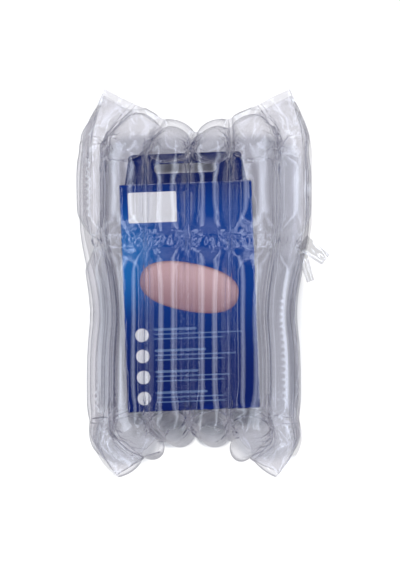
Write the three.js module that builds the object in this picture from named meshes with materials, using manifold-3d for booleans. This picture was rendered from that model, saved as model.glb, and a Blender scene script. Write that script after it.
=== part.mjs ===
// Air-column bag, inflated round a hanging carton and lying on its back. Millimetres, +Z up.
// +X runs across the air columns, +Y from the folded bottom of the bag to its mouth.
// The front panel, with the fill channel across it, faces up.
import * as THREE from "three";
import { mergeVertices } from "three/addons/utils/BufferGeometryUtils.js";
import Module from "manifold-3d";

const wasm = await Module();
wasm.setup();

// Carton: a closed folding box whose back panel runs on upwards as a two-ply hang header
const cartonWidth = 93;
const cartonHeight = 160;
const cartonDepth = 48;
const cartonEdge = 0.8;
const tuckSlit = 0.6;
const tuckSlitDepth = 1.2;
const headerHeight = 25;
const headerCard = 1;
const headerTaper = 4;
const headerCorner = 4;
const hangSlotWidth = 46;
const hangSlotHeight = 7;
const hangSlotDrop = 11;
const cartonLean = THREE.MathUtils.degToRad(2.2);
const cartonShift = -5.2;

// Film and air columns: crown is how far a full column swells to each side of its weld plane, weld and
// weldWidth the welded strip between two columns, and panelShift how far both panels lie to one side
const crown = 11.7;
const weld = 1;
const weldWidth = 2.6;
const pocketGap = 0.4;
const shoulderReach = 10.5;
const shoulderDrop = 7.8;
const sideReach = 21.8;
const upperSpread = 9;
const spreadRun = 55;
const waistDraw = 3;
const waistDrop = 52;
const waistRun = 20;
const panelShift = -6.5;
const innerFlat = 0.55;
const finWidth = 5;
const restFlat = 1;

// Panels along the columns: a gather row on each edge of the carton, and loose film beyond it
const bottomRoom = 8.6;
const frontHeadroom = 21.4;
const backHeadroom = 24.5;
const bottomLoose = 37.3;
const frontLoose = 32.5;
const backLoose = 34.8;
const topSlack = 10;
const bottomSlack = 3.7;
const mouthGap = 8;
const bendRadius = 9;
const sideDraw = 9.6;
const shoulderDraw = 18;
const innerDraw = 5;
const bottomEarSwell = 4;
const foldPinch = 0.35;
const foldEarPinch = 0.85;

// Fill channel: a flat band welded across the front panel, with its inlet film loose at one end
const channelDrop = 41;
const channelWidth = 8;
const channelShoulder = 17;
const inletLength = 21;
const inletWidth = 12;
const inletFilm = 0.8;
const inletTaper = 0.25;
const inletSlope = THREE.MathUtils.degToRad(-128);
const inletCurl = 5;
const lowerInletWidth = 7.2;
const lowerInletDrop = 8.4;
const lowerInletSlope = THREE.MathUtils.degToRad(-162);
const lowerInletCurl = -4;

// Facets
const columnFacets = 6;
const looseSteps = 4;
const bendSteps = 3;
const runSteps = 9;
const channelSteps = 5;
const inletSteps = 5;

// Places that follow from the sizes above, in the carton's own centre
const columnsAcross = 6;
const wallUp = cartonDepth / 2 + pocketGap + crown;
const shoulderOut = cartonWidth / 2 + shoulderReach;
const bottomRow = -cartonHeight / 2 - bottomRoom;
const frontRow = cartonHeight / 2 + frontHeadroom;
const backRow = cartonHeight / 2 + backHeadroom;
const channelRow = cartonHeight / 2 - channelDrop;

// Half of a panel's welds, from the middle of the bag to its side seal: where each lies on the carton, how
// far its ends draw in, and what share it takes of the upper spread, the slack at the ends and the mouth
const welds = [
  { out: 0, up: wallUp, draw: 0, spread: 0, slack: 0, mouth: 1 },
  { out: shoulderOut / 2, up: wallUp, draw: innerDraw, spread: 0.1, slack: 0.5, mouth: 1 },
  { out: shoulderOut, up: wallUp - shoulderDrop, draw: shoulderDraw, spread: 0.65, slack: 0.8, mouth: 0.5 },
  { out: cartonWidth / 2 + sideReach, up: 0, draw: sideDraw, spread: 1, slack: 1, mouth: 0 },
];

const front = { topRow: frontRow, topLoose: frontLoose, channel: channelRow, shift: panelShift };
const back = { topRow: backRow, topLoose: backLoose, channel: null, shift: -panelShift };

function solidOf(geometry) {
  const bare = geometry.clone();
  bare.deleteAttribute("normal");
  bare.deleteAttribute("uv");
  const merged = mergeVertices(bare, 1e-4);
  const vertProperties = Float32Array.from(merged.getAttribute("position").array);
  const triVerts = Uint32Array.from(merged.index.array);
  return new wasm.Manifold(new wasm.Mesh({ numProp: 3, vertProperties, triVerts }));
}

function geometryOf(solid) {
  const mesh = solid.getMesh();
  const geometry = new THREE.BufferGeometry();
  geometry.setAttribute("position", new THREE.BufferAttribute(mesh.vertProperties, mesh.numProp));
  geometry.setIndex(new THREE.BufferAttribute(mesh.triVerts, 1));
  geometry.computeVertexNormals();
  return geometry;
}

// A closed sheet between two grids of points, rows along +Y and columns along +X, with its upper side first
function sheetBetween(upper, lower) {
  const rows = upper.length;
  const columns = upper[0].length;
  const points = [...upper.flat(), ...lower.flat()];
  const at = (side, row, column) => (side * rows + row) * columns + column;
  const index = [];
  const quad = (a, b, c, d) => index.push(a, b, c, a, c, d);
  for (let row = 0; row + 1 < rows; row += 1) {
    for (let column = 0; column + 1 < columns; column += 1) {
      const corner = (side, up, right) => at(side, row + up, column + right);
      quad(corner(0, 0, 0), corner(0, 0, 1), corner(0, 1, 1), corner(0, 1, 0));
      quad(corner(1, 0, 0), corner(1, 1, 0), corner(1, 1, 1), corner(1, 0, 1));
    }
    const last = columns - 1;
    quad(at(0, row, 0), at(0, row + 1, 0), at(1, row + 1, 0), at(1, row, 0));
    quad(at(0, row, last), at(1, row, last), at(1, row + 1, last), at(0, row + 1, last));
  }
  for (let column = 0; column + 1 < columns; column += 1) {
    const last = rows - 1;
    quad(at(0, 0, column), at(1, 0, column), at(1, 0, column + 1), at(0, 0, column + 1));
    quad(at(0, last, column), at(0, last, column + 1), at(1, last, column + 1), at(1, last, column));
  }
  const geometry = new THREE.BufferGeometry().setFromPoints(points);
  geometry.setIndex(index);
  return geometry;
}

// Loose film reaches from a gather row in to the middle of the bag, so a deep column ends lower than an ear
function looseRise(length, depth) {
  return Math.sqrt(Math.max(length ** 2 - depth ** 2, 1));
}

const lipDepth = (seam) => (seam.mouth * mouthGap) / 2;
const bottomRise = (seam) => looseRise(bottomLoose + bottomSlack * seam.slack, seam.up);
const topRise = (seam, panel) => looseRise(panel.topLoose + topSlack * seam.slack, seam.up - lipDepth(seam));

// How far a height lies past the gather rows, as a share of the loose film above or below them
const shareAbove = (seam, panel, y) => Math.max(0, y - panel.topRow) / topRise(seam, panel);
const shareBelow = (seam, y) => Math.max(0, bottomRow - y) / bottomRise(seam);

// How much of the draw at a weld's two ends is reached at a height
function endDraw(seam, panel, y) {
  return Math.min(1, shareAbove(seam, panel, y) ** 2 + shareBelow(seam, y) ** 2);
}

// How far out a weld lies at a height: the bag spreads from the fill channel upwards, has a slight waist
// below it, and draws in at its ends
function weldOut(seam, panel, y) {
  const spreadEnd = channelRow + channelShoulder;
  const spread = upperSpread * THREE.MathUtils.smoothstep(y, spreadEnd - spreadRun, spreadEnd);
  const waist = waistDraw * Math.exp(-(((y - channelRow + waistDrop) / waistRun) ** 2));
  const swell = bottomEarSwell * Math.sin(Math.PI * Math.min(1, shareBelow(seam, y)));
  return seam.out + seam.spread * (spread - waist + swell) - seam.draw * endDraw(seam, panel, y);
}

// One weld's line up a panel, in height and depth: fold, bottom gather row, run, top gather row, lip
function weldLine(seam, panel) {
  const fold = new THREE.Vector2(bottomRow - bottomRise(seam), 0);
  const low = new THREE.Vector2(bottomRow, seam.up);
  const high = new THREE.Vector2(panel.topRow, seam.up);
  const lip = new THREE.Vector2(panel.topRow + topRise(seam, panel), lipDepth(seam));
  const towards = (from, to) => from.clone().add(to.clone().sub(from).setLength(bendRadius));
  return [
    new THREE.LineCurve(fold, towards(low, fold)),
    new THREE.QuadraticBezierCurve(towards(low, fold), low, towards(low, high)),
    new THREE.LineCurve(towards(low, high), towards(high, low)),
    new THREE.QuadraticBezierCurve(towards(high, low), high, towards(high, lip)),
    new THREE.LineCurve(towards(high, lip), lip),
  ];
}

// Stops along every weld line, as the piece of the line and the share of it that lies below
function stopsAlong(panel) {
  const stops = [];
  const steps = (piece, count, from, to) => {
    for (let step = 0; step < count; step += 1) {
      stops.push({ piece, share: from + ((to - from) * step) / count });
    }
  };
  steps(0, looseSteps, 0, 1);
  steps(1, bendSteps, 0, 1);
  if (panel.channel === null) {
    steps(2, runSteps, 0, 1);
  } else {
    const runStart = bottomRow + bendRadius;
    const runLength = panel.topRow - bendRadius - runStart;
    const shareAt = (y) => (y - runStart) / runLength;
    const low = shareAt(panel.channel - channelWidth / 2);
    const high = shareAt(panel.channel + channelWidth / 2);
    const shoulder = channelShoulder / runLength;
    steps(2, channelSteps, 0, low - shoulder);
    steps(2, channelSteps, low - shoulder, low);
    steps(2, 1, low, high);
    steps(2, channelSteps, high, high + shoulder);
    steps(2, channelSteps - 2, high + shoulder, 1);
  }
  steps(3, bendSteps, 0, 1);
  steps(4, looseSteps + 1, 0, 1);
  stops.push({ piece: 4, share: 1 });
  return stops;
}

// Share of the full crown at a stop: pinched at the gather rows and the channel, closed at the mouth
function swellAt(panel, stop, y, edge) {
  const dome = (share) => Math.sqrt(Math.max(0, 1 - (1 - Math.min(1, share)) ** 2));
  const rowPinch = 0.3;
  const toRow = Math.min(Math.abs(y - bottomRow), Math.abs(y - panel.topRow)) / bendRadius;
  let swell = 1 - rowPinch * Math.exp(-(toRow ** 2));
  if (panel.channel !== null) {
    const fromChannel = Math.max(0, Math.abs(y - panel.channel) - channelWidth / 2);
    swell *= Math.sin((Math.PI / 2) * Math.min(1, fromChannel / channelShoulder));
  }
  const earFlat = 0.6;
  const lipClose = 0.55;
  if (stop.piece === 0) swell *= 1 - Math.max(foldPinch, foldEarPinch * edge) * (1 - stop.share);
  if (stop.piece === 4) swell *= (1 - earFlat * edge * stop.share) * dome((1 - stop.share) / lipClose);
  return swell;
}

// Outward direction at each weld of a row, shared by the columns on both sides of it
function weldNormals(weldGrid, row) {
  const before = weldGrid[Math.max(0, row - 1)];
  const after = weldGrid[Math.min(weldGrid.length - 1, row + 1)];
  const atEnd = before === weldGrid[row] || after === weldGrid[row];
  const columnNormals = weldGrid[row].slice(1).map((right, column) => {
    const across = right.clone().sub(weldGrid[row][column]);
    const along = after[column].clone().add(after[column + 1]).sub(before[column]).sub(before[column + 1]);
    const normal = across.cross(along);
    return atEnd ? normal.setZ(0).normalize() : normal.normalize();
  });
  return weldGrid[row].map((_, seam) => {
    const left = columnNormals[Math.max(0, seam - 1)];
    const right = columnNormals[Math.min(columnNormals.length - 1, seam)];
    return left.clone().add(right).normalize();
  });
}

// A panel of air columns: both films swell away from the weld plane between one weld and the next
function columnPanel(panel) {
  const half = columnsAcross / 2;
  const seams = [];
  for (let number = -half; number <= half; number += 1) {
    const seam = welds[Math.abs(number)];
    seams.push({ seam, sign: Math.sign(number), line: weldLine(seam, panel) });
  }
  const stops = stopsAlong(panel);
  const weldGrid = stops.map((stop, row) => seams.map(({ seam, sign, line }) => {
    const flat = line[stop.piece].getPoint(stop.share);
    const pastFold = row === 0 ? weld / 4 : 0;
    const across = sign * weldOut(seam, panel, flat.x) + panel.shift * (flat.y / wallUp);
    return new THREE.Vector3(across, flat.x, flat.y - pastFold);
  }));
  const outer = [];
  const inner = [];
  stops.forEach((stop, row) => {
    const weldRow = weldGrid[row];
    const normals = weldNormals(weldGrid, row);
    const outerRow = [];
    const innerRow = [];
    for (let column = 0; column < columnsAcross; column += 1) {
      const [left, right] = weldRow.slice(column, column + 2);
      const edge = Math.abs(column + 0.5 - half) / (half - 0.5);
      const height = crown * swellAt(panel, stop, (left.y + right.y) / 2, edge ** 2);
      const innerHeight = height * (1 - innerFlat * edge ** 2);
      const strip = Math.min(0.2, weldWidth / 2 / left.distanceTo(right));
      for (let facet = 0; facet <= columnFacets; facet += 1) {
        const angle = Math.PI * (facet / columnFacets);
        const share = strip + ((1 - 2 * strip) * (1 - Math.cos(angle))) / 2;
        const rise = Math.sin(angle);
        const base = left.clone().lerp(right, share);
        const normal = normals[column].clone().lerp(normals[column + 1], share).normalize();
        outerRow.push(base.clone().addScaledVector(normal, weld / 2 + height * rise));
        innerRow.push(base.clone().addScaledVector(normal, -weld / 2 - innerHeight * rise));
      }
    }
    outer.push(outerRow);
    inner.push(innerRow);
  });
  return sheetBetween(outer, inner);
}

// The flat film outside a side seal, from the tip of one ear to the tip of the other
function sideFin(sign) {
  const seam = welds[welds.length - 1];
  const line = weldLine(seam, front);
  const upper = [];
  const lower = [];
  const stops = stopsAlong(front);
  stops.forEach((stop, row) => {
    const pastTip = row === 0 ? -weld : row === stops.length - 1 ? weld : 0;
    const y = line[stop.piece].getPoint(stop.share).x + pastTip;
    const x = sign * weldOut(seam, front, y);
    const inwards = sign * -weldWidth;
    const outwards = sign * finWidth * (1 - endDraw(seam, front, y));
    const ends = sign > 0 ? [x + inwards, x + outwards] : [x + outwards, x + inwards];
    upper.push(ends.map((end) => new THREE.Vector3(end, y, weld / 2)));
    lower.push(ends.map((end) => new THREE.Vector3(end, y, -weld / 2)));
  });
  return sheetBetween(upper, lower);
}

// A loose tongue of inlet film that curls as it leaves the end of the fill channel
function inletTongue(width, length, slope, curl) {
  const upper = [];
  const lower = [];
  for (let step = 0; step <= inletSteps; step += 1) {
    const share = step / inletSteps;
    const lift = curl * share ** 2;
    const halfWidth = (width / 2) * (1 - inletTaper * share);
    const row = (z) => [-halfWidth, halfWidth].map((x) => new THREE.Vector3(x, length * share, z));
    upper.push(row(lift + inletFilm / 2));
    lower.push(row(lift - inletFilm / 2));
  }
  return sheetBetween(upper, lower).rotateZ(slope);
}

function cartonGeometry(grow, withDetail) {
  const width = cartonWidth + 2 * grow;
  const height = cartonHeight + 2 * grow;
  const depth = cartonDepth + 2 * grow;
  const half = width / 2 - cartonEdge;
  const face = new THREE.Shape();
  face.moveTo(-half, cartonEdge - height / 2);
  face.lineTo(half, cartonEdge - height / 2);
  face.lineTo(half, height / 2 - cartonEdge);
  face.lineTo(-half, height / 2 - cartonEdge);
  face.closePath();
  const bevel = { bevelSize: cartonEdge, bevelThickness: cartonEdge, bevelSegments: 2 };
  const box = new THREE.ExtrudeGeometry(face, { depth: depth - 2 * cartonEdge, ...bevel });
  box.translate(0, 0, cartonEdge - depth / 2);
  const header = hangHeader(grow, withDetail);
  let carton = solidOf(box).add(solidOf(header));
  if (withDetail) {
    for (const end of [-1, 1]) {
      const slit = new THREE.BoxGeometry(cartonWidth - 2 * headerTaper, 2 * tuckSlitDepth, tuckSlit);
      slit.translate(0, (end * cartonHeight) / 2, cartonDepth / 2 - cartonEdge - tuckSlit);
      carton = carton.subtract(solidOf(slit));
    }
  }
  const geometry = geometryOf(carton);
  geometry.rotateZ(cartonLean);
  geometry.translate(cartonShift, 0, 0);
  return geometry;
}

// The header: the back panel carried up past the closed top, with rounded shoulders and a long hang slot
function hangHeader(grow, withDetail) {
  const foot = cartonWidth / 2 - cartonEdge + grow;
  const head = foot - headerTaper;
  const base = cartonHeight / 2 - 2 * cartonEdge;
  const top = cartonHeight / 2 + headerHeight + grow;
  const panel = new THREE.Shape();
  panel.moveTo(-foot, base);
  panel.lineTo(foot, base);
  panel.lineTo(head, top - headerCorner);
  panel.quadraticCurveTo(head, top, head - headerCorner, top);
  panel.lineTo(headerCorner - head, top);
  panel.quadraticCurveTo(-head, top, -head, top - headerCorner);
  panel.closePath();
  if (withDetail) {
    const radius = hangSlotHeight / 2;
    const centre = cartonHeight / 2 + headerHeight - hangSlotDrop;
    const reach = hangSlotWidth / 2 - radius;
    const slot = new THREE.Path();
    slot.absarc(reach, centre, radius, -Math.PI / 2, Math.PI / 2, false);
    slot.absarc(-reach, centre, radius, Math.PI / 2, (3 * Math.PI) / 2, false);
    slot.closePath();
    panel.holes.push(slot);
  }
  const depth = headerCard + 2 * grow;
  const plate = new THREE.ExtrudeGeometry(panel, { depth, bevelEnabled: false, curveSegments: 5 });
  return plate.translate(0, 0, -cartonDepth / 2 - grow);
}

function bagGeometry() {
  const backPanel = columnPanel(back).rotateY(Math.PI);
  let bag = solidOf(columnPanel(front)).add(solidOf(backPanel));
  for (const sign of [-1, 1]) bag = bag.add(solidOf(sideFin(sign)));
  const sideSeam = welds[welds.length - 1];
  const inletX = weldOut(sideSeam, front, channelRow);
  const tongues = [
    inletTongue(inletWidth, inletLength, inletSlope, inletCurl).translate(inletX, channelRow, 0),
    inletTongue(lowerInletWidth, inletLength, lowerInletSlope, lowerInletCurl)
      .translate(inletX, channelRow - lowerInletDrop, 0),
  ];
  for (const tongue of tongues) bag = bag.add(solidOf(tongue));
  bag = bag.subtract(solidOf(cartonGeometry(pocketGap, false)));
  const lowest = bag.boundingBox().min[2];
  const floor = new THREE.BoxGeometry(4 * cartonWidth, 4 * cartonHeight, 2 * restFlat);
  floor.translate(0, 0, lowest);
  return geometryOf(bag.subtract(solidOf(floor)));
}

function addPart(parent, name, geometry, colour, roughness) {
  const material = new THREE.MeshStandardMaterial({ color: colour, roughness, metalness: 0 });
  const mesh = new THREE.Mesh(geometry, material);
  mesh.name = name;
  parent.add(mesh);
  return mesh;
}

const cushionBag = new THREE.Group();
const film = addPart(cushionBag, "air_column_bag", bagGeometry(), 0xdfdfe6, 0.15);
film.material.transparent = true;
film.material.opacity = 0.35;
addPart(cushionBag, "carton", cartonGeometry(0, true), 0x12358f, 0.4);

// The origin is under the middle of the whole pack, on the surface that it lies on
const box = new THREE.Box3().setFromObject(cushionBag);
const middle = box.getCenter(new THREE.Vector3());
cushionBag.position.set(-middle.x, -middle.y, -box.min.z);
cushionBag.updateMatrixWorld(true);

export default cushionBag;
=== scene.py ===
import math

import bmesh
import bpy
import numpy as np
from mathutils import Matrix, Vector, noise


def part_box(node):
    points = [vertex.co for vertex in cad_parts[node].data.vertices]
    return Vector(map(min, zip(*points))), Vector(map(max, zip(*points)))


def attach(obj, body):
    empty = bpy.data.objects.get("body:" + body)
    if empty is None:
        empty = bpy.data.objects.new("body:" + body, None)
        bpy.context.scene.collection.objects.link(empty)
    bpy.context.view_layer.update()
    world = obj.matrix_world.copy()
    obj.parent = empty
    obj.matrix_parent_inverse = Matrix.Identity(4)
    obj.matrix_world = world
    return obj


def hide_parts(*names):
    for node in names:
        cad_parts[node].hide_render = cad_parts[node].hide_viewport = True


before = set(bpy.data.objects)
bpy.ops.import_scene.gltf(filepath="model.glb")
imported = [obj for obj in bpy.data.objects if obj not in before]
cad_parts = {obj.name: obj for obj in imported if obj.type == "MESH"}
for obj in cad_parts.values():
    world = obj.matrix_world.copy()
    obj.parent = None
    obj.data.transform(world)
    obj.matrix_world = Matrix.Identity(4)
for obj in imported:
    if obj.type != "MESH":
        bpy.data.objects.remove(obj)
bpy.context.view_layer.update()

# Carton
# A closed folding box of white board, printed in blues and coated, with its back panel carried up as a
# hang header. It is die-cut, folded and glued, and stands in the bag's pocket, leaning a little.
CARTON_WIDTH = 0.093
CARTON_HEIGHT = 0.160
CARTON_DEPTH = 0.048
CARTON_LEAN = math.radians(2.2)
MILLIMETRE = 0.001

carton_low, carton_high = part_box("carton")
lean_cos, lean_sin = math.cos(CARTON_LEAN), math.sin(CARTON_LEAN)
carton_centre = Vector((
    carton_low.x + (CARTON_WIDTH * lean_cos + CARTON_HEIGHT * lean_sin) / 2,
    carton_low.y + (CARTON_HEIGHT * lean_cos + CARTON_WIDTH * lean_sin) / 2,
    (carton_low.z + carton_high.z) / 2,
))


class Socket:
    """An output of a material's nodes, so that shader maths is written as plain expressions."""

    def __init__(self, output):
        self.output = output

    def node(self, kind, settings=None, sockets=None, out=0):
        """Adds a node of that kind, with its settings first and then its sockets' values or links."""
        tree = self.output.id_data
        made = tree.nodes.new("ShaderNode" + kind)
        for name, value in (settings or {}).items():
            setattr(made, name, value)
        for name, value in (sockets or {}).items():
            if isinstance(value, Socket):
                tree.links.new(value.output, made.inputs[name])
            else:
                made.inputs[name].default_value = value
        return Socket(made.outputs[out])

    def math(self, operation, *others):
        return self.node("Math", {"operation": operation}, dict(enumerate((self, *others))))

    def __add__(self, other):
        return self.math("ADD", other)

    def __sub__(self, other):
        return self.math("SUBTRACT", other)

    def __rsub__(self, other):
        return self.math("MULTIPLY_ADD", -1.0, other)

    def __mul__(self, other):
        return self.math("MULTIPLY", other)

    def __truediv__(self, other):
        return self.math("DIVIDE", other)

    def __rtruediv__(self, other):
        return self.node("Math", {"operation": "DIVIDE"}, {0: other, 1: self})

    def __pow__(self, other):
        return self.math("POWER", other)

    def __rpow__(self, other):
        return self.node("Math", {"operation": "POWER"}, {0: other, 1: self})

    def __abs__(self):
        return self.math("ABSOLUTE")

    __radd__ = __add__
    __rmul__ = __mul__

    def split(self):
        """The three numbers of a vector."""
        return [self.node("SeparateXYZ", None, {0: self}, axis) for axis in range(3)]

    def blend(self, under, over):
        """The colour under, with the colour over laid on it by this share."""
        return self.node("Mix", {"data_type": "RGBA"}, {0: self, 6: under, 7: over}, 2)

    def ease(self, low, high):
        """0 at low, 1 at high, and smooth between them."""
        return self.node("MapRange", {"interpolation_type": "SMOOTHSTEP"}, {0: self, 1: low, 2: high})


def new_finish(name, coordinates):
    """A material with one Principled shader, and the coordinates that its patterns follow."""
    material = bpy.data.materials.new(name)
    material.use_nodes = True
    nodes = material.node_tree.nodes
    place = Socket(nodes.new("ShaderNodeTexCoord").outputs[coordinates])
    return material, nodes["Principled BSDF"], place


def feed(shader, **sockets):
    """Sets or links a shader's sockets, named with _ for each space."""
    for name, value in sockets.items():
        socket = shader.inputs[name.replace("_", " ")]
        if isinstance(value, Socket):
            socket.id_data.links.new(value.output, socket)
        else:
            socket.default_value = value


def plate(across, up, x, y, width, height, corner, edge_softness=0.25):
    """1 on a plate with rounded corners and 0 round it, in millimetres."""
    past_x = abs(across - x) - (width / 2 - corner)
    past_y = abs(up - y) - (height / 2 - corner)
    outside = (past_x.math("MAXIMUM", 0.0) ** 2 + past_y.math("MAXIMUM", 0.0) ** 2) ** 0.5
    within = past_x.math("MAXIMUM", past_y).math("MINIMUM", 0.0)
    return (outside + within).ease(corner + edge_softness, corner - edge_softness)


def pebble(across, up, x, y, long, short, tilt):
    """How far out from a tilted, blunt oval's middle a point is, 1 on its rim, and how far up it."""
    bluntness = 2.4
    cos, sin = math.cos(tilt), math.sin(tilt)
    along = ((across - x) * cos + (up - y) * sin) / long
    over = ((up - y) * cos - (across - x) * sin) / short
    return (abs(along) ** bluntness + abs(over) ** bluntness) ** (1 / bluntness), over


def print_colours(across, up, out):
    """The colours on the front: a printed blue field with a glow, a bare white plate, a pink oval, discs and
    bars; the blue is darker towards the bottom and the top edge.
    """
    navy = (0.000, 0.010, 0.110, 1)
    royal = (0.002, 0.045, 0.240, 1)
    azure = (0.010, 0.130, 0.390, 1)
    white = (0.66, 0.65, 0.65, 1)
    pale = (0.18, 0.27, 0.43, 1)
    rose = (0.31, 0.18, 0.20, 1)
    blush = (0.55, 0.36, 0.36, 1)
    shade = (0.18, 0.09, 0.12, 1)
    glow_out = (((across + 44) / 28) ** 2 + ((up - 26) / 38) ** 2) ** 0.5
    # The blue field is darker towards the bottom and towards the top edge, lighter between them.
    band = up.ease(-60, 35) * up.ease(90, 55)
    field = band.blend(navy, royal)
    field = glow_out.ease(1.25, 0.1).blend(field, azure)
    from_middle, over = pebble(across, up, 0, 6.6, 35, 16.8, math.radians(-13))
    body = over.ease(-0.9, 0.7).blend(rose, blush)
    body = from_middle.ease(0.85, 1.05).blend(body, shade)
    field = from_middle.ease(1.01, 0.99).blend(field, body)
    field = plate(across, up, -23.8, 63.5, 34, 21.4, 1).blend(field, white)
    for line in range(4):
        y = -26 - 14.8 * line
        field = plate(across, up, -34.5, y, 9.4, 9.4, 4.6).blend(field, white)
        for row, (length, thick) in enumerate(((30 + 6 * (line % 2), 1.7), (62 - 5 * line, 0.9), (48, 0.9))):
            bar = plate(across, up, length / 2 - 26, y + 3.6 - 3.3 * row, length, thick, thick / 2 - 0.05)
            field = (bar * 0.6).blend(field, pale)
    on_front = out.ease(CARTON_DEPTH / MILLIMETRE / 2 - 1.2, CARTON_DEPTH / MILLIMETRE / 2 - 0.6)
    return on_front.blend(navy, field)


def carton_finish():
    """Coated print: even gloss, faint board texture, and white board worn through along the folds."""
    material, shader, place = new_finish("printed_card", "Object")
    local = place.node("Mapping", {"vector_type": "TEXTURE"}, {
        "Vector": place, "Location": carton_centre, "Rotation": (0, 0, CARTON_LEAN),
        "Scale": (MILLIMETRE,) * 3,
    })
    across, up, out = local.split()
    print_layer = print_colours(across, up, out)
    fold_x = (CARTON_WIDTH / MILLIMETRE / 2 - abs(across)).ease(0.9, 0.1)
    fold_y = (CARTON_HEIGHT / MILLIMETRE / 2 - abs(up)).ease(0.9, 0.1) * (out + 22).ease(0.0, 1.0)
    fold_z = (CARTON_DEPTH / MILLIMETRE / 2 - abs(out)).ease(0.9, 0.1)
    corner = (fold_x * fold_y).math("MAXIMUM", fold_y * fold_z).math("MAXIMUM", fold_x * fold_z)
    rub = local.node("TexNoise", None, {"Vector": local, "Scale": 0.35, "Detail": 4.0})
    board = (0.55, 0.56, 0.58, 1)
    worn = (corner * rub.ease(0.42, 0.62) * 0.55).blend(print_layer, board)
    grain = local.node("TexNoise", None, {"Vector": local, "Scale": 3.0, "Detail": 5.0})
    bump = local.node("Bump", None, {"Strength": 0.12, "Distance": 0.00005, "Height": grain})
    feed(shader, Base_Color=worn, Roughness=0.30 + grain * 0.18, Specular_IOR_Level=0.25, Normal=bump)
    return material


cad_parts["carton"].data.materials.clear()
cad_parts["carton"].data.materials.append(carton_finish())

# Air columns
# Two layers of clear film about 60 micrometres thick, heat-welded to each other in parallel lines and
# folded at the bottom. Blown up through the fill channel, they become six air columns on each face.
CROWN = 0.0117
POCKET_GAP = 0.0004
CARTON_SHIFT = -0.0052
SHOULDER_REACH = 0.0105
SHOULDER_DROP = 0.0078
SIDE_REACH = 0.0218
UPPER_SPREAD = 0.009
SPREAD_RUN = 0.055
WAIST_DRAW = 0.003
WAIST_DROP = 0.052
WAIST_RUN = 0.020
PANEL_SHIFT = -0.0065
INNER_FLAT = 0.55
BOTTOM_ROOM = 0.0086
FRONT_HEADROOM = 0.0214
BACK_HEADROOM = 0.0245
BOTTOM_LOOSE = 0.0373
FRONT_LOOSE = 0.0325
BACK_LOOSE = 0.0348
TOP_SLACK = 0.010
BOTTOM_SLACK = 0.0037
MOUTH_GAP = 0.008
BEND_RADIUS = 0.009
SIDE_DRAW = 0.0096
SHOULDER_DRAW = 0.018
INNER_DRAW = 0.005
BOTTOM_EAR_SWELL = 0.004
FOLD_PINCH = 0.35
FOLD_EAR_PINCH = 0.85
CHANNEL_DROP = 0.041
CHANNEL_WIDTH = 0.008
CHANNEL_SHOULDER = 0.017
COLUMNS = 6
FACETS = 22
WELD_WIDTH = 0.0026
FLAT_PITCH = 0.0416
FILM_GAP = 0.00006
EDGE_SHARE = [(abs(column + 0.5 - COLUMNS / 2) / (COLUMNS / 2 - 0.5)) ** 2 for column in range(COLUMNS)]
SIM_SCALE = 10
SIM_QUALITY = 5
SIM_FRAMES = 25
SIM_PRESSURE = 60
SIM_SPARE = 0.35
CONTACT = 1.3

wall_up = CARTON_DEPTH / 2 + POCKET_GAP + CROWN
shoulder_out = CARTON_WIDTH / 2 + SHOULDER_REACH
bottom_row = -CARTON_HEIGHT / 2 - BOTTOM_ROOM
channel_row = CARTON_HEIGHT / 2 - CHANNEL_DROP
bag_middle = carton_centre - Vector((CARTON_SHIFT, 0, 0))

WELDS = (
    {"out": 0, "up": wall_up, "draw": 0, "spread": 0, "slack": 0, "mouth": 1},
    {"out": shoulder_out / 2, "up": wall_up, "draw": INNER_DRAW, "spread": 0.1, "slack": 0.5, "mouth": 1},
    {"out": shoulder_out, "up": wall_up - SHOULDER_DROP, "draw": SHOULDER_DRAW, "spread": 0.65, "slack": 0.8,
     "mouth": 0.5},
    {"out": CARTON_WIDTH / 2 + SIDE_REACH, "up": 0, "draw": SIDE_DRAW, "spread": 1, "slack": 1, "mouth": 0},
)
FRONT = {"row": CARTON_HEIGHT / 2 + FRONT_HEADROOM, "loose": FRONT_LOOSE, "channel": True}
BACK = {"row": CARTON_HEIGHT / 2 + BACK_HEADROOM, "loose": BACK_LOOSE, "channel": False}


def loose_rise(length, depth):
    """How far film of a length reaches up from a gather row, when it also reaches in to the middle."""
    return math.sqrt(max(length ** 2 - depth ** 2, 1e-6))


def bottom_rise(seam):
    return loose_rise(BOTTOM_LOOSE + BOTTOM_SLACK * seam["slack"], seam["up"])


def top_rise(seam, panel):
    return loose_rise(panel["loose"] + TOP_SLACK * seam["slack"], seam["up"] - seam["mouth"] * MOUTH_GAP / 2)


def smooth(value, low, high):
    share = np.clip((value - low) / (high - low), 0, 1)
    return share * share * (3 - 2 * share)


def dome(share):
    return np.sqrt(np.maximum(0, 1 - (1 - np.clip(share, 0, 1)) ** 2))


def end_draw(seam, panel, y):
    """How much of the draw at a weld's two ends is reached at a height."""
    above = np.maximum(0, y - panel["row"]) / top_rise(seam, panel)
    below = np.maximum(0, bottom_row - y) / bottom_rise(seam)
    return np.minimum(1, above ** 2 + below ** 2)


def weld_out(seam, panel, y):
    """How far out a weld lies at a height: spread above the fill channel, with a waist below it."""
    spread_end = channel_row + CHANNEL_SHOULDER
    spread = UPPER_SPREAD * smooth(y, spread_end - SPREAD_RUN, spread_end)
    waist = WAIST_DRAW * np.exp(-((y - channel_row + WAIST_DROP) / WAIST_RUN) ** 2)
    below = np.maximum(0, bottom_row - y) / bottom_rise(seam)
    swell = BOTTOM_EAR_SWELL * np.sin(np.pi * np.minimum(1, below))
    return seam["out"] + seam["spread"] * (spread - waist + swell) - seam["draw"] * end_draw(seam, panel, y)


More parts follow.
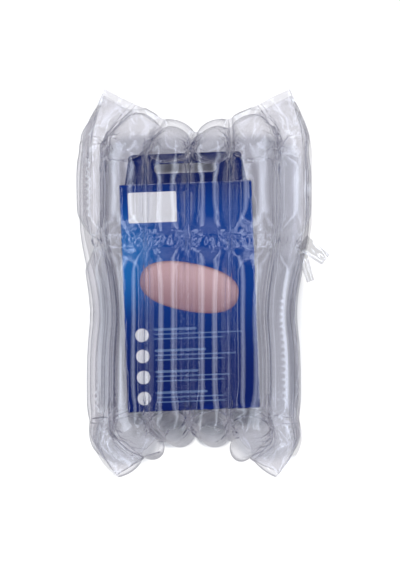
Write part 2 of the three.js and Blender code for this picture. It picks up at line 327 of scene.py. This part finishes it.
def stops_along(panel):
    """Rows of a panel from the fold up: the piece of the weld line, and the share of that piece below."""
    run_start = bottom_row + BEND_RADIUS
    run_length = panel["row"] - BEND_RADIUS - run_start
    marks = [0, 1]
    counts = [36]
    if panel["channel"]:
        low = (channel_row - CHANNEL_WIDTH / 2 - run_start) / run_length
        high = (channel_row + CHANNEL_WIDTH / 2 - run_start) / run_length
        shoulder = CHANNEL_SHOULDER / run_length
        marks = [0, low - shoulder, low, high, high + shoulder, 1]
        counts = [24, 12, 8, 12, 12]
    stops = [(0, share) for share in np.linspace(0, 1, 20, endpoint=False)]
    stops += [(1, share) for share in np.linspace(0, 1, 14, endpoint=False)]
    for start, end, count in zip(marks, marks[1:], counts):
        stops += [(2, share) for share in np.linspace(start, end, count, endpoint=False)]
    stops += [(3, share) for share in np.linspace(0, 1, 14, endpoint=False)]
    stops += [(4, share) for share in np.linspace(0, 1, 21)]
    return np.array(stops)


def weld_line(seam, panel, stops):
    """Height and depth of one weld at each stop: fold, bottom gather row, run, top gather row, lip."""
    fold = np.array((bottom_row - bottom_rise(seam), 0))
    low = np.array((bottom_row, seam["up"]))
    high = np.array((panel["row"], seam["up"]))
    lip = np.array((panel["row"] + top_rise(seam, panel), seam["mouth"] * MOUTH_GAP / 2))

    def towards(start, end):
        return start + (end - start) * (BEND_RADIUS / np.linalg.norm(end - start))

    corners = (
        (fold, (fold + towards(low, fold)) / 2, towards(low, fold)),
        (towards(low, fold), low, towards(low, high)),
        (towards(low, high), (towards(low, high) + towards(high, low)) / 2, towards(high, low)),
        (towards(high, low), high, towards(high, lip)),
        (towards(high, lip), (towards(high, lip) + lip) / 2, lip),
    )
    piece = stops[:, 0].astype(int)
    share = stops[:, 1:2]
    first, middle, last = (np.array([corners[p][k] for p in piece]) for k in range(3))
    return (1 - share) ** 2 * first + 2 * share * (1 - share) * middle + share ** 2 * last


def weld_grid(panel, stops):
    """Where every weld of a panel lies at every stop, from the bag's own middle."""
    grid = np.zeros((len(stops), COLUMNS + 1, 3))
    for number in range(COLUMNS + 1):
        side = number - COLUMNS // 2
        seam = WELDS[abs(side)]
        line = weld_line(seam, panel, stops)
        shift = PANEL_SHIFT * line[:, 1] / wall_up
        grid[:, number, 0] = np.sign(side) * weld_out(seam, panel, line[:, 0]) + shift
        grid[:, number, 1:] = line
    return grid


def swell_at(panel, stops, y, edge):
    """Share of the full crown: pinched at the gather rows and the channel, closed at the mouth."""
    row_pinch, ear_flat, lip_close = 0.3, 0.6, 0.55
    to_row = np.minimum(abs(y - bottom_row), abs(y - panel["row"])) / BEND_RADIUS
    swell = 1 - row_pinch * np.exp(-to_row ** 2)
    if panel["channel"]:
        from_channel = np.maximum(0, abs(y - channel_row) - CHANNEL_WIDTH / 2)
        swell = swell * np.sin(np.pi / 2 * np.minimum(1, from_channel / CHANNEL_SHOULDER))
    piece, share = stops.T
    swell = np.where(piece == 0, swell * (1 - max(FOLD_PINCH, FOLD_EAR_PINCH * edge) * (1 - share)), swell)
    lip = (1 - ear_flat * edge * share) * dome((1 - share) / lip_close)
    return np.where(piece == 4, swell * lip, swell)


def unit(vectors):
    return vectors / np.maximum(np.linalg.norm(vectors, axis=-1, keepdims=True), 1e-9)


def film_form():
    """Welds, outward directions and swell of the bag, from the back lip round the fold to the front."""
    welds, swells = [], []
    for panel, sign in ((BACK, -1), (FRONT, 1)):
        stops = stops_along(panel)
        grid = weld_grid(panel, stops)
        swell = np.zeros((len(stops), COLUMNS))
        for column in range(COLUMNS):
            y = (grid[:, column, 1] + grid[:, column + 1, 1]) / 2
            swell[:, column] = swell_at(panel, stops, y, EDGE_SHARE[column])
        grid[:, :, 2] *= sign
        welds.append(grid)
        swells.append(swell)
    welds = np.concatenate((welds[0][::-1], welds[1][1:]))
    swells = np.concatenate((swells[0][::-1], swells[1][1:]))
    along = np.gradient(welds, axis=0)
    across = welds[:, 1:] - welds[:, :-1]
    faces = unit(np.cross(across, along[:, 1:] + along[:, :-1]))
    normals = np.concatenate((faces[:, :1], unit(faces[:, 1:] + faces[:, :-1]), faces[:, -1:]), axis=1)
    return welds, normals, swells


def film_points(layer):
    """Places and outward directions of one layer's grid points, with a flat strip at each weld."""
    welds, normals, swells = film_form()
    points, outwards = [], []
    for column in range(COLUMNS):
        left, right = welds[:, column], welds[:, column + 1]
        strip = np.clip(WELD_WIDTH / 2 / np.linalg.norm(right - left, axis=1), 0, 0.2)
        crown = CROWN * swells[:, column]
        if layer < 0:
            crown = crown * (1 - INNER_FLAT * EDGE_SHARE[column])
        for angle in np.linspace(0, np.pi, FACETS + 1):
            share = (strip + (1 - 2 * strip) * (1 - math.cos(angle)) / 2)[:, None]
            normal = unit(normals[:, column] * (1 - share) + normals[:, column + 1] * share)
            rise = math.sin(angle) if layer > 0 else min(1, CONTACT * math.sin(angle))
            lift = layer * (FILM_GAP + crown * rise)
            points.append(left * (1 - share) + right * share + normal * lift[:, None])
            outwards.append(normal)
    return np.stack(points, axis=1), np.stack(outwards, axis=1)


def gather_rows():
    """Rows of the grid where welds are bunched up: both panels' gather rows, then the fill channel."""
    height, depth = film_form()[0][:, COLUMNS // 2, 1:].T
    rows = []
    gathers = ((BACK["row"], -1), (bottom_row, -1), (bottom_row, 1), (FRONT["row"], 1), (channel_row, 1))
    for place, sign in gathers:
        rows.append(int(np.argmin(np.where(depth * sign > 0, abs(height - place), 1))))
    return rows


def film_zones(points):
    """For each grid point: if a weld holds it, its air pressure, how gathered it is, how far on an ear."""
    channel_spare, channel_reach, gather_reach = 0.6, 0.005, 0.013
    ear_rise, ear_start, ear_full, ear_slack = 0.015, 0.5, 0.8, 0.85
    rows, columns = points.shape[:2]
    facet = np.arange(columns) % (FACETS + 1)
    held = np.zeros((rows, columns))
    held[:, (facet == 0) | (facet == FACETS)] = 1
    held[[0, -1]] = 1
    front = points[:, :, 2] > 0
    from_channel = np.where(front, abs(points[:, :, 1] - channel_row), 1)
    pressure = smooth(from_channel, CHANNEL_WIDTH / 2, CHANNEL_WIDTH / 2 + CHANNEL_SHOULDER)
    spare = channel_spare * np.exp(-(from_channel / channel_reach) ** 2)
    welds = film_form()[0]
    for row in gather_rows():
        for node in welds[row, 1:-1]:
            near = np.linalg.norm(points - node, axis=2)
            spare = np.maximum(spare, np.exp(-(near / gather_reach) ** 2))
    top_row = np.where(front, FRONT["row"], BACK["row"])
    past_row = smooth(points[:, :, 1], top_row, top_row + ear_rise)
    past_fold = smooth(-points[:, :, 1], -bottom_row, ear_rise - bottom_row)
    outer = smooth(abs(points[:, :, 0]), shoulder_out * ear_start, shoulder_out * ear_full)
    ear = np.maximum(past_row, past_fold) * outer
    return held, pressure * (1 - ear_slack * ear), spare, ear


def crinkle(points, outwards, gathered, ear, layer):
    """Seeds for the wrinkles: fine unevenness where film is gathered, and broad facets on the ears."""
    fine_pitch, fine_lift, broad_pitch, broad_lift = 170, 0.0007, 42, 0.003
    seed = Vector((3.1, 7.7, 1.3 + layer))
    fine = np.array([noise.noise(Vector(place) * fine_pitch + seed) for place in points.reshape(-1, 3)])
    broad = np.array([noise.noise(Vector(place) * broad_pitch + seed) for place in points.reshape(-1, 3)])
    lift = fine_lift * fine.reshape(gathered.shape) * gathered + broad_lift * broad.reshape(ear.shape) * ear
    return points + outwards * lift[:, :, None]


def rest_on_carton(points):
    """Presses the inner film flat where it would reach into the carton."""
    turned = points - np.array((CARTON_SHIFT, 0, 0))
    across = turned[:, :, 0] * lean_cos + turned[:, :, 1] * lean_sin
    up = turned[:, :, 1] * lean_cos - turned[:, :, 0] * lean_sin
    over = (abs(across) < CARTON_WIDTH / 2 + POCKET_GAP) & (abs(up) < CARTON_HEIGHT / 2 + POCKET_GAP)
    face = CARTON_DEPTH / 2 + POCKET_GAP / 2
    above, below = np.maximum(points[:, :, 2], face), np.minimum(points[:, :, 2], -face)
    pressed = np.where(points[:, :, 2] > 0, above, below)
    points[:, :, 2] = np.where(over & (abs(points[:, :, 2]) > CARTON_DEPTH / 4), pressed, points[:, :, 2])
    return points


def blow_up(name, start, held, pressure, spare, inwards):
    """Lets the film find its own wrinkles: welds hold it, air presses it out, its flat lengths stay."""
    rows, columns = start.shape[:2]
    grid = bmesh.new()
    bmesh.ops.create_grid(grid, x_segments=columns - 1, y_segments=rows - 1, size=0.5)
    if inwards:
        bmesh.ops.reverse_faces(grid, faces=grid.faces)
    mesh = bpy.data.meshes.new(name)
    grid.to_mesh(mesh)
    grid.free()
    mesh.vertices.foreach_set("co", (start * SIM_SCALE).ravel())
    film = bpy.data.objects.new(name, mesh)
    bpy.context.scene.collection.objects.link(film)
    for group_name, weights in (("welds", held), ("air", pressure), ("taut", 1 - spare)):
        group = film.vertex_groups.new(name=group_name)
        for index, weight in enumerate(weights.ravel()):
            group.add([index], float(weight), "REPLACE")
    cloth = film.modifiers.new("film", "CLOTH")
    settings = cloth.settings
    settings.quality = SIM_QUALITY
    settings.mass = 0.02
    settings.tension_stiffness = 60
    settings.compression_stiffness = 60
    settings.shear_stiffness = 20
    settings.bending_stiffness = 0.02
    settings.tension_damping = 10
    settings.compression_damping = 10
    settings.shear_damping = 10
    settings.air_damping = 2
    settings.vertex_group_mass = "welds"
    settings.vertex_group_shrink = "taut"
    settings.shrink_min = -SIM_SPARE
    settings.shrink_max = 0
    settings.effector_weights.gravity = 0
    settings.use_pressure = True
    settings.uniform_pressure_force = SIM_PRESSURE
    settings.vertex_group_pressure = "air"
    cloth.collision_settings.use_collision = False
    cloth.point_cache.frame_end = SIM_FRAMES
    for frame_number in range(1, SIM_FRAMES + 1):
        bpy.context.scene.frame_set(frame_number)
    settled = film.evaluated_get(bpy.context.evaluated_depsgraph_get())
    places = np.empty(rows * columns * 3)
    settled.data.vertices.foreach_get("co", places)
    bpy.context.scene.frame_set(1)
    bpy.data.objects.remove(film)
    bpy.data.meshes.remove(mesh)
    return places.reshape(start.shape) / SIM_SCALE


def smooth_piece(name, form):
    """An object with that form, shaded smooth."""
    for face in form.faces:
        face.smooth = True
    form.normal_update()
    mesh = bpy.data.meshes.new(name)
    form.to_mesh(mesh)
    form.free()
    piece = bpy.data.objects.new(name, mesh)
    bpy.context.scene.collection.objects.link(piece)
    return piece


def film_lengths():
    """How far along the film each row of the grid lies, in column pitches of the flat film."""
    middle = film_form()[0][:, COLUMNS // 2]
    steps = np.linalg.norm(np.diff(middle, axis=0), axis=1)
    return np.concatenate(([0], np.cumsum(steps))) / FLAT_PITCH


def film_sheet(name, layer):
    """One layer of the bag, blown up, with the flat film's own coordinates as its UV map."""
    ear_spare, shoulder_kept, table_gap = 0.1, 0.75, 0.0002
    shoulder_middle, shoulder_half = 0.6 * CHANNEL_SHOULDER, 0.5 * CHANNEL_SHOULDER
    shaped, outwards = film_points(layer)
    held, pressure, gathered, ear = film_zones(shaped)
    points = crinkle(shaped, outwards, gathered, ear, layer)
    blown = blow_up(name, points, held, pressure, np.maximum(gathered, ear_spare * ear), layer < 0)
    from_shoulder = abs(abs(shaped[:, :, 1] - channel_row) - shoulder_middle) / shoulder_half
    kept = np.where(shaped[:, :, 2] > 0, shoulder_kept * np.exp(-from_shoulder ** 4), 0)[:, :, None]
    points = blown * (1 - kept) + points * kept
    if layer < 0:
        points = rest_on_carton(points)
    rows, columns = points.shape[:2]
    sheet = bmesh.new()
    bmesh.ops.create_grid(sheet, x_segments=columns - 1, y_segments=rows - 1, size=0.5)
    if layer < 0:
        bmesh.ops.reverse_faces(sheet, faces=sheet.faces)
    places = points.reshape(-1, 3) + np.array(bag_middle)
    places[:, 2] = np.maximum(places[:, 2], table_gap)
    column, facet = np.divmod(np.arange(columns), FACETS + 1)
    strip = WELD_WIDTH / 2 / FLAT_PITCH
    across, along = column + strip + (1 - 2 * strip) * facet / FACETS, film_lengths()
    flat = sheet.loops.layers.uv.new("flat_film")
    sheet.verts.index_update()
    for face in sheet.faces:
        for corner in face.loops:
            row, spot = divmod(corner.vert.index, columns)
            corner[flat].uv = across[spot], along[row]
    for vertex, place in zip(sheet.verts, places):
        vertex.co = place
    return smooth_piece(name, sheet)


def fold_heights(flat):
    """Fine folds, in millimetres: weld beads, fans at the gathers, pockets on the channel, ripples."""
    bead_place, bead_width, bead_rise = 3.3, 0.9, 0.7
    fan_turn, fan_fade, fan_rise, weld_seed, row_seed = 3, 0.25, 0.9, 3.7, 9.1
    channel_reach, crease_rise = 7, 3
    rung_pitch, rung_width, rung_rise, rung_fade = 4.6, 0.06, 0.35, 8
    pitch = FLAT_PITCH / MILLIMETRE
    across, along, _ = flat.split()
    weld = across.math("ROUND")
    from_weld = (across - weld) * pitch
    *gathers, channel = [film_lengths()[row] for row in gather_rows()]
    folds = flat.node("TexNoise", None, {"Vector": flat, "Scale": 5.0, "Detail": 3.0}) * 0.05
    folds = folds + math.e ** (((abs(from_weld) - bead_place) / bead_width) ** 2 * -1) * bead_rise
    for number, place in enumerate((*gathers, channel)):
        up = (along - place) * pitch
        reach = (from_weld ** 2 + up ** 2 + 0.01) ** 0.5
        turn = flat.node("CombineXYZ", None, {
            0: from_weld / reach * fan_turn,
            1: up / reach * fan_turn,
            2: weld * weld_seed + row_seed * number,
        })
        fan = flat.node("TexNoise", None, {"Vector": turn, "Scale": 1.0, "Detail": 1.0})
        folds = folds + fan * reach * math.e ** (fan_fade * reach * -1) * fan_rise
    up = (along - channel) * pitch
    for wide, tall, rise in ((8, 5, 2.6), (2.2, 8, 0.5)):
        stretched = flat.node("CombineXYZ", None, {0: across * (pitch / wide), 1: up / tall, 2: 0.0})
        pockets = flat.node("TexNoise", None, {"Vector": stretched, "Scale": 1.0, "Detail": 1.0})
        folds = folds + pockets * math.e ** ((up / channel_reach) ** 2 * -1) * rise
    back_top, back_low, front_low, front_top = gathers
    loose = (along - front_top).ease(0, 0.25) + (back_top - along).ease(0, 0.25)
    loose = loose + (along - back_low).ease(0, 0.2) * (front_low - along).ease(0, 0.2)
    creases = abs(flat.node("TexNoise", None, {"Vector": flat, "Scale": 1.7, "Detail": 0.0}) - 0.5)
    folds = folds + creases * loose * abs(across - COLUMNS / 2).ease(1.3, 2.0) * crease_rise
    for place, low, high in ((0.68, 4, 58), (0.68, -126, -96), (COLUMNS - 0.8, -118, -34)):
        rungs = (along * (math.tau * pitch / rung_pitch)).math("SINE")
        ladder = rungs * up.ease(low, low + rung_fade) * up.ease(high, high - rung_fade)
        folds = folds + ladder * math.e ** (((across - place) / rung_width) ** 2 * -1) * rung_rise
    return folds


def film_finish(name, sheets, folded=False):
    """Sheets of clear film: they mirror more the flatter they are looked along, and dim what passes."""
    one_sheet = 0.965
    material, shader, place = new_finish(name, "UV" if folded else "Object")
    tree = material.node_tree
    if folded:
        height = fold_heights(place)
    else:
        height = place.node("TexNoise", None, {"Vector": place, "Scale": 120.0, "Detail": 3.0}) * 0.3
    bump = place.node("Bump", None, {"Strength": 1.0, "Distance": MILLIMETRE, "Height": height})
    slant = place.node("LayerWeight", None, {"Blend": 0.5, "Normal": bump}, 1)
    one_face = 0.04 + 0.96 * slant ** 5
    mirrored = 1 - (1 - 2 * one_face / (1 + one_face)) ** sheets
    stopped = 1 - (1 - mirrored) * one_sheet ** (sheets / (1.05 - slant))
    tint = (mirrored / stopped).blend((0, 0, 0, 1), (0.97, 0.97, 1.0, 1))
    feed(shader, Base_Color=tint, Metallic=1.0, Roughness=0.06, Normal=bump)
    through = stopped.node("BsdfTransparent", None, {"Color": (0.987, 0.984, 1.0, 1)})
    mix = stopped.node("MixShader", None, {0: stopped, 1: through, 2: Socket(shader.outputs[0])})
    tree.links.new(mix.output, tree.nodes["Material Output"].inputs["Surface"])
    return material


clear_film = film_finish("clear_film", 1, folded=True)
for film_name, film_layer in (("inner_film", -1), ("outer_film", 1)):
    film = film_sheet(film_name, film_layer)
    film.data.materials.append(clear_film)
    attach(film, "root")
    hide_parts("air_column_bag")

# Side seals
# Outside the last weld on each side, all the layers of film are sealed together into a flat, narrow fin.
# It is trimmed off the roll, so its edge is straight, and it waves a little where the columns pull it.
FIN_WIDTH = 0.005
FIN_ROWS = 130
FIN_STEPS = 5
FIN_WAVE = 0.0014
FIN_RIPPLE = 0.0005


def side_fin(name, sign):
    """The fin from the tip of the bottom ear to the tip of the top one."""
    seam = WELDS[-1]
    bottom, top = bottom_row - bottom_rise(seam), FRONT["row"] + top_rise(seam, FRONT)
    strip = bmesh.new()
    bmesh.ops.create_grid(strip, x_segments=FIN_STEPS, y_segments=FIN_ROWS, size=0.5)
    for vertex in strip.verts:
        share, width = vertex.co.y + 0.5, vertex.co.x + 0.5
        y = bottom + (top - bottom) * share
        fin_width = FIN_WIDTH * (1 - float(end_draw(seam, FRONT, y)))
        out = float(weld_out(seam, FRONT, y)) + fin_width * width - WELD_WIDTH / 2 * (1 - width)
        wave = noise.noise(Vector((y * 45, sign, 2.0))) * FIN_WAVE
        wave += noise.noise(Vector((y * 150, sign, 5.0))) * FIN_RIPPLE
        vertex.co = bag_middle + Vector((sign * out, y, wave * width))
    if sign < 0:
        bmesh.ops.reverse_faces(strip, faces=strip.faces)
    return smooth_piece(name, strip)


sealed_film = film_finish("sealed_film", 3)
for fin_name, fin_sign in (("left_side_seal", -1), ("right_side_seal", 1)):
    fin = side_fin(fin_name, fin_sign)
    fin.data.materials.append(sealed_film)
    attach(fin, "root")
    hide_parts("air_column_bag")

# Inlet film
# The two loose ends of the fill channel's film, left over where the air was blown in at one side.
# They are single layers, cut by hand, and curl up as they like.
INLET_LENGTH = 0.021
INLET_WIDTH = 0.012
INLET_TAPER = 0.25
LOWER_INLET_WIDTH = 0.0072
LOWER_INLET_DROP = 0.0084


def inlet_tongue(form, start, width, slope, curl):
    """Adds a tongue of film to a mesh: it narrows, curls up and crumples towards its end."""
    made = bmesh.ops.create_grid(form, x_segments=8, y_segments=16, size=0.5)
    for vertex in made["verts"]:
        share, side = vertex.co.y + 0.5, vertex.co.x
        crumple = noise.noise(Vector((side * 3, share * 4, slope))) * 0.0016 * share
        x, y = side * width * (1 - INLET_TAPER * share), share * INLET_LENGTH
        vertex.co = start + Vector((
            x * math.cos(slope) - y * math.sin(slope),
            x * math.sin(slope) + y * math.cos(slope),
            curl * share ** 2 + crumple + 0.0015 * math.sin(7 * side) * share,
        ))


inlet_form = bmesh.new()
inlet_out = float(weld_out(WELDS[-1], FRONT, channel_row))
inlet_start = bag_middle + Vector((inlet_out, channel_row, 0))
inlet_tongue(inlet_form, inlet_start, INLET_WIDTH, math.radians(-128), 0.005)
lower_start = inlet_start - Vector((0, LOWER_INLET_DROP, 0))
inlet_tongue(inlet_form, lower_start, LOWER_INLET_WIDTH, math.radians(-162), -0.004)
inlet = smooth_piece("inlet_film", inlet_form)
inlet.data.materials.append(film_finish("inlet_film", 4))
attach(inlet, "root")
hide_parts("air_column_bag")

# Floor, lights and camera
# A white light table whose glow is masked off under the pack as a painted shadow, darker under the bottom
# lobes and ears, a lamp high up towards the mouth, two long soft boxes that draw a streak down each flank of
# every column, and a camera straight above.
scene = bpy.context.scene
FLOOR_SIZE = 4.0
EAR_SHADOW_SHARE = 0.75
floor_mesh = bpy.data.meshes.new("floor")
floor_form = bmesh.new()
bmesh.ops.create_grid(floor_form, x_segments=1, y_segments=1, size=FLOOR_SIZE / 2)
floor_form.to_mesh(floor_mesh)
floor_form.free()
floor = bpy.data.objects.new("floor", floor_mesh)
scene.collection.objects.link(floor)
floor_finish, floor_shader, floor_place = new_finish("light_table_with_painted_shadow", "Object")
floor_spot = floor_place.node("VectorMath", {"operation": "SCALE"}, {0: floor_place, 3: 1 / MILLIMETRE})
floor_x, floor_y, _ = floor_spot.split()
# Painted shadow: the floor's glow is taken away under the pack's outline, under the bottom lobes and partly
# under the bottom ears.
painted_pack_shadow = plate(floor_x, floor_y, -3, 1, 152, 220, 25, edge_softness=5)
for mask_x, mask_width in ((-21.5, 34), (7.5, 31)):
    painted_lobe_shadow = plate(floor_x, floor_y, mask_x, -105, mask_width, 37, 14, edge_softness=1.5)
    painted_pack_shadow = painted_pack_shadow.math("MAXIMUM", painted_lobe_shadow)
for mask_x, mask_y, mask_height in ((-58, -114, 44), (46, -113, 40)):
    painted_ear_shadow = plate(floor_x, floor_y, mask_x, mask_y, 48, mask_height, 20, edge_softness=3)
    painted_pack_shadow = painted_pack_shadow.math("MAXIMUM", painted_ear_shadow * EAR_SHADOW_SHARE)
# The floor glows evenly white outside the painted shadow and hardly at all inside it.
glow = painted_pack_shadow.blend((1.05, 1.05, 1.05, 1), (0.05, 0.05, 0.06, 1))
feed(
    floor_shader,
    Base_Color=painted_pack_shadow.blend((0.04, 0.04, 0.05, 1), (0.7, 0.7, 0.7, 1)),
    Roughness=1.0,
    Specular_IOR_Level=0.0,
    Emission_Color=glow,
    Emission_Strength=1.0,
)
floor_mesh.materials.append(floor_finish)
floor.visible_glossy = False

world = bpy.data.worlds.new("studio")
world.use_nodes = True
sky = Socket(world.node_tree.nodes.new("ShaderNodeTexCoord").outputs["Generated"])
sideways, _, height = sky.split()
wall_share = height.ease(0.75, 0.2) * (1 - abs(sideways)) ** 2
walls = wall_share.blend((0.015, 0.015, 0.02, 1), (0.5, 0.5, 0.53, 1))
surround = height.ease(0.02, -0.1).blend(walls, (0.5, 0.5, 0.53, 1))
world.node_tree.links.new(surround.output, world.node_tree.nodes["Background"].inputs["Color"])
scene.world = world


def soft_box(name, place, width, length, power, mirrored=True):
    """A soft box that points at the pack, brightest along its middle, and mirrored in the film or not."""
    lamp = bpy.data.lights.new(name, "AREA")
    lamp.shape = "RECTANGLE"
    lamp.size = width
    lamp.size_y = length
    lamp.energy = power
    lamp.color = (0.86, 0.93, 1) if mirrored else (1, 1, 1)
    lamp.use_nodes = True
    nodes = lamp.node_tree.nodes
    across = Socket(nodes.new("ShaderNodeNewGeometry").outputs["Parametric"]).split()[0]
    profile = 2 * (1 - abs(2 * across - 1))
    lamp.node_tree.links.new(profile.output, nodes["Emission"].inputs["Strength"])
    box = bpy.data.objects.new(name, lamp)
    box.location = place
    box.rotation_mode = "QUATERNION"
    box.rotation_quaternion = (-Vector(place)).to_track_quat("-Z", "X")
    box.visible_glossy = mirrored
    scene.collection.objects.link(box)


soft_box("left_box", (-0.63, 0, 0.9), 0.7, 4.5, 15)
soft_box("right_box", (0.63, 0, 0.9), 0.7, 4.5, 15)
soft_box("mouth_lamp", (0, 0.3, 1.2), 0.2, 0.2, 14, mirrored=False)

CAMERA_HEIGHT = 1.071
FOCAL_LENGTH = 90
camera_data = bpy.data.cameras.new("camera")
camera_data.sensor_fit = "AUTO"
camera_data.sensor_width = 36
camera_data.lens = FOCAL_LENGTH
camera = bpy.data.objects.new("camera", camera_data)
camera.location = (-0.0031, -0.0013, CAMERA_HEIGHT)
scene.collection.objects.link(camera)
scene.camera = camera
scene.view_settings.view_transform = "Standard"
scene.cycles.max_bounces = 6
scene.cycles.diffuse_bounces = 2
scene.cycles.glossy_bounces = 3
scene.cycles.transparent_max_bounces = 32
scene.cycles.caustics_reflective = False
scene.cycles.caustics_refractive = False
